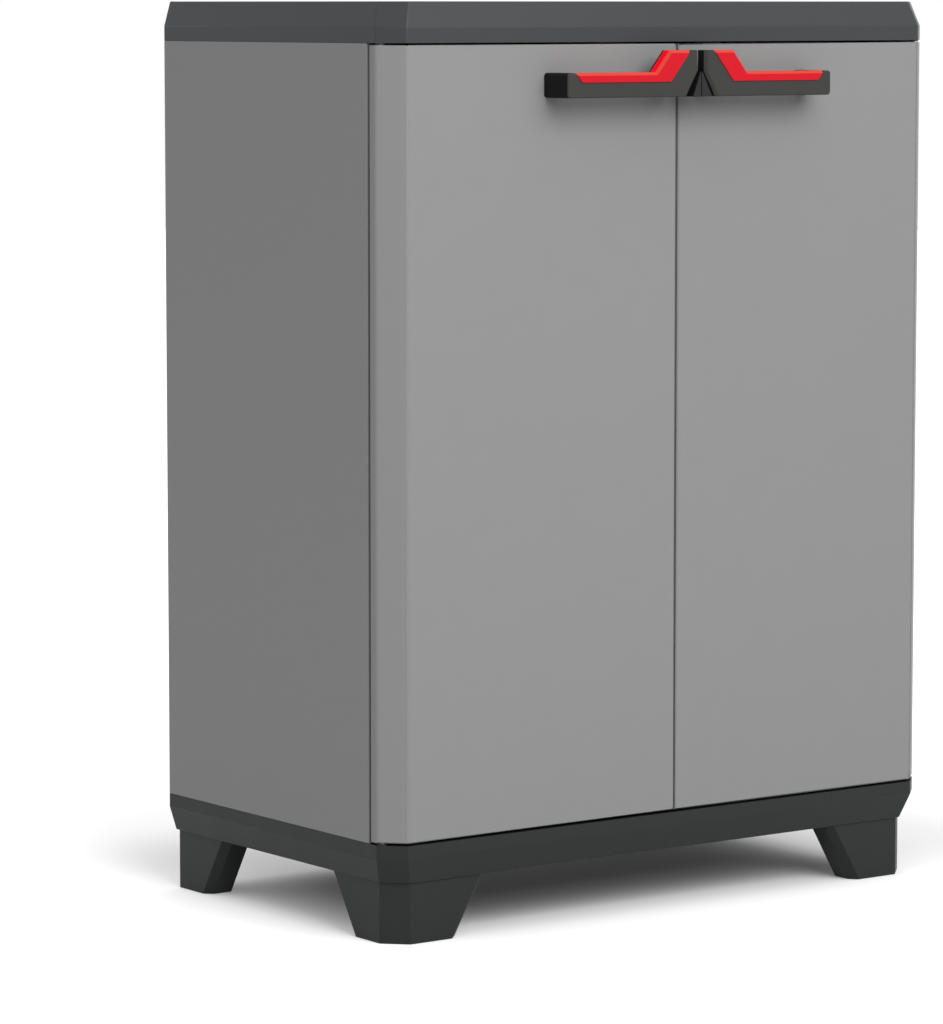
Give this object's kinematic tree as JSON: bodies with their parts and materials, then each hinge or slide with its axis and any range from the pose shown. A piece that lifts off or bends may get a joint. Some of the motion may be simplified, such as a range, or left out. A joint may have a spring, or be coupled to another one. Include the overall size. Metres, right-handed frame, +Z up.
{
  "type": "workshop cabinet",
  "caption": "Low moulded-resin workshop cabinet with bevelled front corners, hinged doors with slanted handles, adjustable shelves, a bevelled lid and a plinth on feet.",
  "frame": {"origin": "on the floor under the centre of the whole box, handles included", "axes": "+Z up, X across the width, the doors face -Y"},
  "size_m": [0.68, 0.4288, 0.9],
  "materials": {
    "panel_grey": "moulded, fine grain",
    "inner_grey": "moulded, fine grain",
    "lid_graphite": "moulded, fine grain",
    "base_black": "moulded, fine grain",
    "handle_graphite": "moulded, satin",
    "insert_red": "moulded, semi-gloss",
    "clip_black": "moulded",
    "acetal_black": "moulded acetal",
    "zinc_steel": "zinc plated"
  },
  "bodies": {
    "cabinet": {"base_tray": "base_black", "foot_front_left": "base_black", "foot_front_right": "base_black", "foot_rear_left": "base_black", "foot_rear_right": "base_black", "side_panel_left": "panel_grey", "side_panel_right": "panel_grey", "back_panel_left": "inner_grey", "back_panel_right": "inner_grey", "back_joint_strip": "inner_grey", "top_lid": "lid_graphite", "shelf_lower": "inner_grey", "shelf_upper": "inner_grey", "shelf_clips_lower": "clip_black", "shelf_clips_upper": "clip_black", "pivot_bushes": "acetal_black", "catch_keepers": "acetal_black", "keeper_screws": "zinc_steel"},
    "door_left": {"door_shell_left": "panel_grey", "door_liner_left": "inner_grey", "hinge_pins_left": "zinc_steel", "handle_body_left": "handle_graphite", "handle_insert_left": "insert_red", "handle_screws_left": "zinc_steel", "padlock_ear_left": "handle_graphite", "catch_tongue_left": "acetal_black", "catch_screw_left": "zinc_steel"},
    "door_right": {"door_shell_right": "panel_grey", "door_liner_right": "inner_grey", "hinge_pins_right": "zinc_steel", "handle_body_right": "handle_graphite", "handle_insert_right": "insert_red", "handle_screws_right": "zinc_steel", "padlock_ear_right": "handle_graphite", "catch_tongue_right": "acetal_black", "catch_screw_right": "zinc_steel"}
  },
  "joints": [
    {"name": "door_left_hinge", "type": "hinge", "parent": "cabinet", "child": "door_left", "pos_m": [-0.332, -0.1527, 0.48], "axis": [0, 0, -1], "range_deg": [0, 120]},
    {"name": "door_right_hinge", "type": "hinge", "parent": "cabinet", "child": "door_right", "pos_m": [0.332, -0.1527, 0.48], "axis": [0, 0, 1], "range_deg": [0, 120]}
  ]
}
